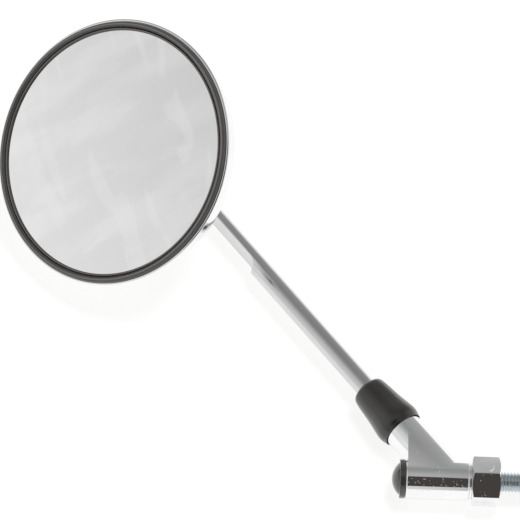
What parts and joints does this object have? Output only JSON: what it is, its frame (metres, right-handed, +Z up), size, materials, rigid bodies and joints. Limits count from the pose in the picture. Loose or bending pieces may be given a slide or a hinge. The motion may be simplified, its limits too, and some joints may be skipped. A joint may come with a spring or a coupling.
{
  "type": "motorcycle mirror",
  "caption": "Round convex rear-view mirror in a polished metal bowl on a straight stem, with a swivelling threaded joint, rubber boot and ball-jointed head.",
  "frame": {"origin": "on the stud's axis, where the exposed thread meets the big nut's outer face", "axes": "+X along the stud away from the nut, +Z up, square to the plane of stud and stem, +Y away from the camera side so that the stem leans to -X and +Y"},
  "size_m": [0.2184, 0.1841, 0.0791],
  "materials": {
    "chrome": "polished",
    "zinc": "zinc plated",
    "spring_steel": "dark spring steel",
    "bronze": "plain bearing bronze",
    "black_rubber": "matte",
    "black_plastic": "moulded",
    "nylon": "moulded",
    "pad": "foam",
    "glass": "silvered behind"
  },
  "bodies": {
    "stud": {"pivot_bolt": "zinc", "hex_nut": "chrome", "thrust_washer": "zinc", "bolt_washer": "zinc", "disc_springs": "spring_steel"},
    "arm": {"joint_body": "chrome", "pivot_bush": "bronze", "end_cap": "black_plastic", "stem_lock_nut": "zinc"},
    "stem": {"stem_rod": "chrome", "dust_boot": "black_rubber", "knuckle_block": "zinc", "ball_stud": "zinc", "grub_screw": "spring_steel"},
    "rear_seat": {"rear_ball_seat": "nylon"},
    "front_seat": {"front_ball_seat": "nylon"},
    "head": {"socket_housing": "chrome", "seat_spring": "spring_steel", "spring_cover": "zinc", "cover_screws": "zinc", "head_shell": "chrome", "rim_gasket": "black_rubber", "mirror_glass": "glass", "glass_backing": "pad"}
  },
  "joints": [
    {"name": "arm_swing", "type": "hinge", "parent": "stud", "child": "arm", "pos_m": [-0.02, 0, 0], "axis": [1, 0, 0], "continuous": true},
    {"name": "stem_turn", "type": "hinge", "parent": "arm", "child": "stem", "pos_m": [-0.02, 0, 0], "axis": [-0.6157, 0.788, 0], "range_deg": [-180, 180]},
    {"name": "head_tilt_across", "type": "hinge", "parent": "stem", "child": "rear_seat", "pos_m": [-0.14075, 0.13535, 0.0141], "axis": [-0.6157, 0.788, 0], "range_deg": [-18, 18]},
    {"name": "head_tilt_along", "type": "hinge", "parent": "rear_seat", "child": "front_seat", "pos_m": [-0.14075, 0.13535, 0.0141], "axis": [-0.6037, -0.4716, -0.6428], "range_deg": [-18, 18]},
    {"name": "head_spin", "type": "hinge", "parent": "front_seat", "child": "head", "pos_m": [-0.14075, 0.13535, 0.0141], "axis": [-0.5065, -0.3957, 0.766], "continuous": true}
  ]
}
